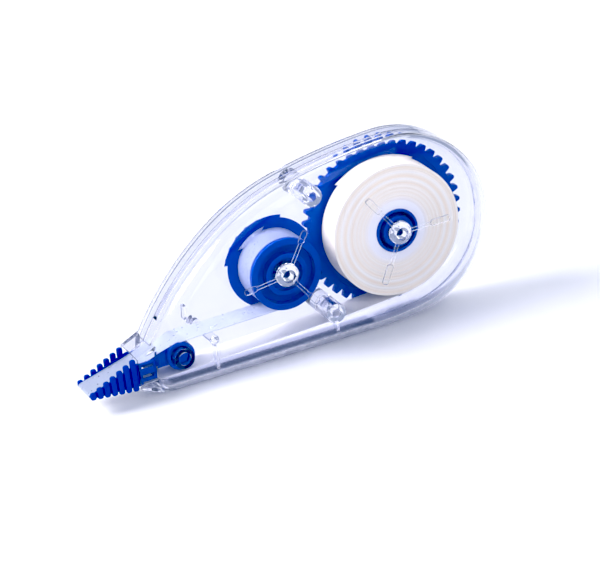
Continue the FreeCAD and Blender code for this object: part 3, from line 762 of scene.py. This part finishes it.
def wound_roll(name, centre, inner, outer, turn_width, unevenness, draws):
    """A roll of ribbon whose side faces show its turns as fine uneven steps."""
    count = max(3, round((outer - inner) / turn_width))
    front = []
    back = []
    for i in range(count + 1):
        radius = inner + (outer - inner) * i / count
        front.append((radius, TAPE_FRONT_Y + draws.random() * unevenness))
        back.append((radius, TAPE_BACK_Y - draws.random() * unevenness))
    return turned(name, centre, front + back[::-1], 0)


def tape_roll(material, draws):
    roll = wound_roll("wound_tape_roll", GEAR_AXIS, CORE_RADIUS, ROLL_RADIUS,
                      TAPE_TURN, TAPE_UNEVENNESS, draws)
    finish_piece(roll, "tape_roll", "supply_spool", material)


def used_film_roll(material, draws):
    roll = wound_roll("wound_film_roll", REEL_AXIS, REEL_DRUM_RADIUS + FIT_GAP, FILM_RADIUS,
                      FILM_TURN, FILM_UNEVENNESS, draws)
    finish_piece(roll, "used_film_roll", "take_up", material)


# ---------------------------------------------------------------- nozzle

def film_slope_deg():
    """Slope of the straight line from the tip's lip up over the boss."""
    spread = math.asin((BOSS_RADIUS - TIP_RADIUS) / distance_between(TIP_CENTRE, BOSS_CENTRE))
    return bearing(TIP_CENTRE, BOSS_CENTRE) + math.degrees(spread)


def wedge_outline():
    """The tape guide's side view: a round lip, a straight top for the film and a straight underside."""
    slope = film_slope_deg()
    turn = math.degrees(math.asin((HEEL_RADIUS - TIP_RADIUS) / distance_between(TIP_CENTRE, HEEL)))
    under_deg = bearing(TIP_CENTRE, HEEL) - turn - 90
    top = toward(TIP_CENTRE, TIP_RADIUS, slope + 90)
    heel = toward(HEEL, HEEL_RADIUS, under_deg)
    rise = math.tan(math.radians(slope)) * (WEDGE_END_X - top[0])
    places = arc_run(TIP_CENTRE, TIP_RADIUS, slope + 90, under_deg + 360, 0.06)
    places += [toward(TIP_CENTRE, TIP_RADIUS, under_deg), heel]
    places += [(WEDGE_END_X, heel[1]), (WEDGE_END_X, top[1] + rise)]
    return places


def height_at(line_ends, x):
    (x0, z0), (x1, z1) = line_ends
    return z0 + (z1 - z0) * (x - x0) / (x1 - x0)


def cheek_fins(inner_y, outer_y):
    """Upright grip fins that grow shorter towards the tip."""
    fins = []
    for index in range(FIN_COUNT):
        middle = FIN_FIRST_X - index * FIN_PITCH
        low = height_at(FIN_FOOT_LINE, middle)
        high = height_at(FIN_TOP_LINE, middle)
        corners = [(middle - FIN_WIDTH / 2, low), (middle + FIN_WIDTH / 2, low),
                   (middle + FIN_WIDTH / 2, high), (middle - FIN_WIDTH / 2, high)]
        outline = rounded_corners(corners, FIN_CORNER, 5)
        fins.append(prism("fin", outline, min(inner_y, outer_y), max(inner_y, outer_y), FIN_EDGE))
    return fins


def cheek(edge_y, side):
    """One side of the nozzle: a thin plate with grip fins, then open bars through the collar."""
    inner_y = edge_y - side * CHEEK_OVERLAP
    outer_y = edge_y + side * CHEEK_THICK
    bar_y = edge_y + side * SHANK_BAR_DEPTH
    plate = rounded_corners(anticlockwise(list(CHEEK_OUTLINE)), 0.3)
    parts = [prism("cheek", plate, min(inner_y, outer_y), max(inner_y, outer_y), 0.06)]
    parts += cheek_fins(edge_y + side * CHEEK_THICK / 2, outer_y + side * FIN_DEPTH)
    bar_depths = (min(edge_y, bar_y), max(edge_y, bar_y))
    for z_range in SHANK_BARS:
        parts.append(cuboid("bar", SHANK_BAR_X, bar_depths, z_range, SHANK_EDGE))
    return parts


def shank():
    """A bridge across the ends of the bars, the arm behind it and the boss on its post."""
    bridge_y = (TAPE_FRONT_Y - SHANK_BAR_DEPTH + SHANK_BRIDGE_INSET,
                TAPE_BACK_Y + SHANK_BAR_DEPTH - SHANK_BRIDGE_INSET)
    arm = rounded_corners(anticlockwise(list(SHANK_OUTLINE)), 0.3)
    return [cuboid("bridge", SHANK_BRIDGE_X, bridge_y, SHANK_BRIDGE_Z, SHANK_EDGE),
            prism("arm", arm, SHANK_Y[0], SHANK_Y[1], 0.1),
            solid_disc("boss", BOSS_CENTRE, BOSS_RADIUS, TAPE_FRONT_Y - BOSS_PROUD,
                       TAPE_BACK_Y + BOSS_PROUD, 0.12, PIN_STEPS)]


def nozzle(material):
    piece = prism("blue_nozzle", wedge_outline(), TAPE_FRONT_Y, TAPE_BACK_Y, 0.03)
    combine(piece, cheek(TAPE_FRONT_Y, -1) + cheek(TAPE_BACK_Y, 1) + shank(), "UNION")
    profile = [(BOSS_PIN_RADIUS, BOSS_MOUTH_Y), (BOSS_BORE, BOSS_MOUTH_Y),
               (BOSS_BORE, BOSS_FLOOR_Y), (BOSS_PIN_RADIUS, BOSS_FLOOR_Y)]
    groove = turned("groove", BOSS_CENTRE, profile, 0.06, PIN_STEPS)
    mouth = solid_disc("mouth", BOSS_CENTRE, BOSS_PIN_RADIUS + BOSS_MOUTH_MARGIN, BOSS_MOUTH_Y,
                       BOSS_PIN_FRONT_Y, 0.1, PIN_STEPS)
    combine(piece, [groove, mouth], "DIFFERENCE")
    finish_piece(piece, "nozzle", "case", material)


# ---------------------------------------------------------------- ribbons

def tangent_run(first, second):
    """Ends of the straight run between two circles, each (centre, radius, side)."""
    (start, start_radius, start_side), (end, end_radius, end_side) = first, second
    turn = math.asin((end_side * end_radius - start_side * start_radius) / distance_between(start, end))
    heading = bearing(start, end) + math.degrees(turn)
    return (toward(start, start_side * start_radius, heading + 90),
            toward(end, end_side * end_radius, heading + 90))


def ribbon_path(circles, start_deg=None, end_deg=None):
    """Places along a ribbon pulled round the circles, each (centre, radius, side)."""
    runs = [tangent_run(first, second) for first, second in zip(circles, circles[1:])]
    places = []
    if start_deg is not None:
        centre, radius, _ = circles[0]
        places += arc_run(centre, radius, start_deg, bearing(centre, runs[0][0]), TIP_STEP)
    for index, (leave, meet) in enumerate(runs):
        places += line_run(leave, meet, RUN_STEP)
        if index + 1 < len(runs):
            centre, radius, _ = circles[index + 1]
            start = bearing(centre, meet)
            sweep = (bearing(centre, runs[index + 1][0]) - start + 180) % 360 - 180
            places += arc_run(centre, radius, start, start + sweep, BEND_STEP)
    places.append(runs[-1][1])
    if end_deg is not None:
        centre, radius, _ = circles[-1]
        start = bearing(centre, runs[-1][1]) % 360
        places = places[:-1] + arc_run(centre, radius, start, end_deg, TIP_STEP)
        places.append(toward(centre, radius, end_deg))
    return places


def ribbon(name, places, draws):
    """A thin strip along the places, with a hair of waver in its edges."""
    half = RIBBON_THICK / 2
    rings = []
    count = len(places)
    for i, place in enumerate(places):
        ahead = Vector(places[min(i + 1, count - 1)]) - Vector(places[max(i - 1, 0)])
        normal = Vector((-ahead.y, ahead.x)).normalized() * half
        waver = draws.uniform(0.0, RIBBON_WAVER)
        front_y = TAPE_FRONT_Y + waver
        back_y = TAPE_BACK_Y - waver
        upper = Vector(place) + normal
        lower = Vector(place) - normal
        rings.append([(upper.x, front_y, upper.y), (upper.x, back_y, upper.y),
                      (lower.x, back_y, lower.y), (lower.x, front_y, lower.y)])
    return loft(name, rings)


def ribbons(tape_material, film_material, draws):
    """The tape's run from its roll to the tip, and the film's run from the tip to the take-up reel."""
    lift = RIBBON_GAP + RIBBON_THICK / 2
    to_tip = [(GEAR_AXIS, ROLL_RADIUS + lift, 1), (SNAP_POSTS[1], SNAP_RADIUS + lift, 1),
              (HEEL, HEEL_RADIUS + lift, 1), (TIP_CENTRE, TIP_RADIUS + lift, 1)]
    to_reel = [(TIP_CENTRE, TIP_RADIUS + lift, 1), (BOSS_CENTRE, BOSS_RADIUS + lift, 1),
               (REEL_AXIS, FILM_RADIUS + lift, -1)]
    tape = ribbon("white_tape_run", ribbon_path(to_tip, end_deg=180.0), draws)
    finish_piece(tape, "correction_tape", "case", tape_material)
    film = ribbon("bare_film_run", ribbon_path(to_reel, start_deg=180.0), draws)
    finish_piece(film, "carrier_film", "case", film_material)


# ---------------------------------------------------------------- materials

def new_material(name):
    material = bpy.data.materials.new(name)
    material.use_nodes = True
    tree = material.node_tree
    return material, tree, tree.nodes["Principled BSDF"]


def add_node(tree, kind, **settings):
    node = tree.nodes.new(kind)
    for key, value in settings.items():
        setattr(node, key, value)
    return node


def noise(tree, scale, detail=3.0):
    place = add_node(tree, "ShaderNodeTexCoord")
    texture = add_node(tree, "ShaderNodeTexNoise")
    texture.inputs["Scale"].default_value = scale
    texture.inputs["Detail"].default_value = detail
    tree.links.new(place.outputs["Object"], texture.inputs["Vector"])
    return texture.outputs["Fac"]


def value_range(tree, source, low, high, source_low=0.3, source_high=0.7):
    node = add_node(tree, "ShaderNodeMapRange")
    node.inputs["From Min"].default_value = source_low
    node.inputs["From Max"].default_value = source_high
    node.inputs["To Min"].default_value = low
    node.inputs["To Max"].default_value = high
    tree.links.new(source, node.inputs["Value"])
    return node.outputs["Result"]


def blend_colours(tree, factor, first, second):
    node = add_node(tree, "ShaderNodeMix", data_type="RGBA")
    node.inputs["A"].default_value = (*first, 1)
    node.inputs["B"].default_value = (*second, 1)
    tree.links.new(factor, node.inputs["Factor"])
    return node.outputs["Result"]


def bump(tree, shader, source, strength, distance):
    node = add_node(tree, "ShaderNodeBump")
    node.inputs["Strength"].default_value = strength
    node.inputs["Distance"].default_value = distance
    tree.links.new(source, node.inputs["Height"])
    tree.links.new(node.outputs["Normal"], shader.inputs["Normal"])


def clear_plastic():
    """Polished clear polystyrene with faint flow marks; lamps reach what is inside it."""
    material, tree, shader = new_material("clear_polystyrene")
    shader.inputs["Base Color"].default_value = (0.905, 0.91, 0.965, 1)
    shader.inputs["Transmission Weight"].default_value = 1.0
    shader.inputs["IOR"].default_value = 1.5
    shader.inputs["Specular Tint"].default_value = (0.42, 0.45, 0.55, 1)
    roughness = value_range(tree, noise(tree, 900.0), 0.01, 0.045)
    tree.links.new(roughness, shader.inputs["Roughness"])
    bump(tree, shader, noise(tree, 260.0, 2.0), 0.05, 0.0001)
    path = add_node(tree, "ShaderNodeLightPath")
    through = add_node(tree, "ShaderNodeBsdfTransparent")
    through.inputs["Color"].default_value = (0.93, 0.935, 0.985, 1)
    mixer = add_node(tree, "ShaderNodeMixShader")
    output = tree.nodes["Material Output"]
    tree.links.new(path.outputs["Is Shadow Ray"], mixer.inputs["Fac"])
    tree.links.new(shader.outputs["BSDF"], mixer.inputs[1])
    tree.links.new(through.outputs["BSDF"], mixer.inputs[2])
    tree.links.new(mixer.outputs["Shader"], output.inputs["Surface"])
    return material


def blue_plastic(name, deep, bright):
    """Moulded blue plastic: a little mottled, with a fine satin grain."""
    material, tree, shader = new_material(name)
    colour = blend_colours(tree, noise(tree, 700.0), deep, bright)
    tree.links.new(colour, shader.inputs["Base Color"])
    roughness = value_range(tree, noise(tree, 2200.0), 0.26, 0.42)
    tree.links.new(roughness, shader.inputs["Roughness"])
    shader.inputs["Specular IOR Level"].default_value = 0.25
    bump(tree, shader, noise(tree, 5200.0, 2.0), 0.12, 0.00003)
    return material


def wound_rings(tree, centre, scale):
    """Bands that depend only on the distance from a reel's axis, and that distance in metres."""
    place = add_node(tree, "ShaderNodeTexCoord")
    parts = add_node(tree, "ShaderNodeSeparateXYZ")
    tree.links.new(place.outputs["Object"], parts.inputs["Vector"])
    squares = []
    for axis, middle in (("X", centre[0]), ("Z", centre[1])):
        shift = add_node(tree, "ShaderNodeMath", operation="SUBTRACT")
        tree.links.new(parts.outputs[axis], shift.inputs[0])
        shift.inputs[1].default_value = middle * MM
        square = add_node(tree, "ShaderNodeMath", operation="POWER")
        tree.links.new(shift.outputs[0], square.inputs[0])
        square.inputs[1].default_value = 2.0
        squares.append(square.outputs[0])
    total = add_node(tree, "ShaderNodeMath", operation="ADD")
    tree.links.new(squares[0], total.inputs[0])
    tree.links.new(squares[1], total.inputs[1])
    root = add_node(tree, "ShaderNodeMath", operation="SQRT")
    tree.links.new(total.outputs[0], root.inputs[0])
    texture = add_node(tree, "ShaderNodeTexNoise", noise_dimensions="1D")
    texture.inputs["Scale"].default_value = scale
    texture.inputs["Detail"].default_value = 4.0
    tree.links.new(root.outputs[0], texture.inputs["W"])
    return texture.outputs["Fac"], root.outputs[0]


def wound_tape(centre):
    """Cream-white wound tape: rings of slightly different tone, whiter near the core."""
    material, tree, shader = new_material("wound_white_tape")
    fine, radius = wound_rings(tree, centre, 1500.0)
    rings = value_range(tree, fine, 0.0, 1.0)
    cream = blend_colours(tree, rings, (0.95, 0.84, 0.66), (1.0, 0.96, 0.86))
    whiter = value_range(tree, radius, 1.0, 0.0, WHITE_ZONE[0] * MM, WHITE_ZONE[1] * MM)
    node = add_node(tree, "ShaderNodeMix", data_type="RGBA")
    tree.links.new(whiter, node.inputs["Factor"])
    tree.links.new(cream, node.inputs["A"])
    node.inputs["B"].default_value = (0.95, 0.94, 0.95, 1)
    tree.links.new(node.outputs["Result"], shader.inputs["Base Color"])
    shader.inputs["Roughness"].default_value = 0.55
    bump(tree, shader, fine, 0.35, 0.00005)
    return material


def tape_coat():
    """The dry white coating on the fresh tape, matt with a fine tooth."""
    material, tree, shader = new_material("dry_white_coat")
    colour = blend_colours(tree, noise(tree, 1800.0), (0.86, 0.84, 0.83), (0.95, 0.94, 0.94))
    tree.links.new(colour, shader.inputs["Base Color"])
    roughness = value_range(tree, noise(tree, 900.0), 0.55, 0.75)
    tree.links.new(roughness, shader.inputs["Roughness"])
    bump(tree, shader, noise(tree, 6000.0), 0.2, 0.00002)
    return material


def bare_film(name, thin, thick, clearness):
    """Translucent carrier film with crumbs of coating left on it."""
    material, tree, shader = new_material(name)
    colour = blend_colours(tree, noise(tree, 2600.0, 6.0), thin, thick)
    tree.links.new(colour, shader.inputs["Base Color"])
    roughness = value_range(tree, noise(tree, 1200.0), 0.25, 0.45)
    tree.links.new(roughness, shader.inputs["Roughness"])
    shader.inputs["Transmission Weight"].default_value = clearness
    shader.inputs["IOR"].default_value = 1.3
    bump(tree, shader, noise(tree, 4200.0), 0.2, 0.00003)
    return material


def ring_rubber():
    """Dark rubber with a fine grain."""
    material, tree, shader = new_material("dark_ring_rubber")
    colour = blend_colours(tree, noise(tree, 1500.0), (0.015, 0.015, 0.018), (0.04, 0.04, 0.045))
    tree.links.new(colour, shader.inputs["Base Color"])
    shader.inputs["Roughness"].default_value = 0.7
    bump(tree, shader, noise(tree, 5000.0), 0.3, 0.00003)
    return material


# ---------------------------------------------------------------- stage

def stage_floor():
    bm = bmesh.new()
    bmesh.ops.create_grid(bm, x_segments=4, y_segments=4, size=FLOOR_SIZE)
    floor = new_object("pale_floor", bm)
    material, tree, shader = new_material("pale_floor_paint")
    colour = blend_colours(tree, noise(tree, 3.0), (0.86, 0.86, 0.90), (0.88, 0.88, 0.92))
    tree.links.new(colour, shader.inputs["Base Color"])
    shader.inputs["Roughness"].default_value = 0.55
    floor.data.materials.append(material)


def camera_axes():
    """Right, up and back of the camera, from its azimuth, elevation and roll."""
    azimuth, elevation, roll = (math.radians(v) for v in (CAMERA_AZIMUTH, CAMERA_ELEVATION, CAMERA_ROLL))
    back = Vector((math.sin(azimuth) * math.cos(elevation), -math.cos(azimuth) * math.cos(elevation),
                   math.sin(elevation)))
    level = Vector((math.cos(azimuth), math.sin(azimuth), 0.0))
    upright = back.cross(level)
    right = level * math.cos(roll) + upright * math.sin(roll)
    up = upright * math.cos(roll) - level * math.sin(roll)
    return right, up, back


def place_camera():
    right, up, back = camera_axes()
    aim = Vector((REEL_AXIS[0], AIM_DEPTH, REEL_AXIS[1])) + right * AIM_SHIFT[0] + up * AIM_SHIFT[1]
    data = bpy.data.cameras.new("camera")
    data.lens = CAMERA_LENS
    data.clip_start = 0.01
    data.clip_end = 20.0
    camera = bpy.data.objects.new("camera", data)
    bpy.context.scene.collection.objects.link(camera)
    spot = (aim + back * CAMERA_DISTANCE) * MM
    camera.matrix_world = Matrix.Translation(spot) @ Matrix((right, up, back)).transposed().to_4x4()
    bpy.context.scene.camera = camera


def softbox(name, azimuth, elevation, distance, size, power, colour=(1, 1, 1)):
    """A rectangular lamp that faces the middle of the object."""
    data = bpy.data.lights.new(name, "AREA")
    data.shape = "RECTANGLE"
    data.size, data.size_y = size
    data.energy = power
    data.color = colour
    lamp = bpy.data.objects.new(name, data)
    bpy.context.scene.collection.objects.link(lamp)
    turn, lift = math.radians(azimuth), math.radians(elevation)
    facing = Vector((math.sin(turn) * math.cos(lift), -math.cos(turn) * math.cos(lift), math.sin(lift)))
    lamp.location = facing * distance + Vector((0, 0, LAMP_AIM_HEIGHT))
    lamp.rotation_euler = facing.to_track_quat("Z", "Y").to_euler()


def light_stage():
    """A dim lavender room with a key from the left and a little behind, a front fill and a back light."""
    world = bpy.data.worlds.new("dim_lavender_room")
    world.use_nodes = True
    background = world.node_tree.nodes["Background"]
    background.inputs["Color"].default_value = (0.74, 0.80, 1.0, 1)
    background.inputs["Strength"].default_value = 0.56
    bpy.context.scene.world = world
    softbox("key_softbox", -112.0, 40.0, 0.9, (0.35, 0.35), 7.5, (1.0, 0.99, 0.97))
    softbox("front_softbox", -5.0, 38.0, 1.0, (1.0, 0.8), 4.2)
    softbox("back_softbox", 165.0, 55.0, 1.6, (1.6, 1.2), 8.0)
    scene = bpy.context.scene
    scene.view_settings.view_transform = "Standard"
    scene.view_settings.use_curve_mapping = True
    scene.view_settings.curve_mapping.black_level = (0.075, 0.05, 0.0)
    scene.view_settings.curve_mapping.update()
    scene.cycles.max_bounces = LIGHT_BOUNCES
    scene.cycles.transmission_bounces = LIGHT_BOUNCES
    scene.cycles.glossy_bounces = GLOSSY_BOUNCES
    scene.cycles.transparent_max_bounces = LIGHT_BOUNCES


def main():
    draws = random.Random(SEED)
    place_camera()
    blue = blue_plastic("moulded_blue", *BLUE_TONES)
    clear = clear_plastic()
    shell = case_shell()
    front_cover(shell, clear)
    back_cover(shell, clear)
    bpy.data.objects.remove(shell)
    supply_gear(blue)
    take_up_reel(blue)
    supply_core(blue)
    clutch_ring(ring_rubber())
    tape_roll(wound_tape(GEAR_AXIS), draws)
    used_film_roll(bare_film("wound_carrier_film", *WOUND_FILM_TONES, WOUND_FILM_CLEARNESS), draws)
    nozzle(blue)
    loose_film = bare_film("loose_carrier_film", *LOOSE_FILM_TONES, LOOSE_FILM_CLEARNESS)
    ribbons(tape_coat(), loose_film, draws)
    stage_floor()
    light_stage()


main()
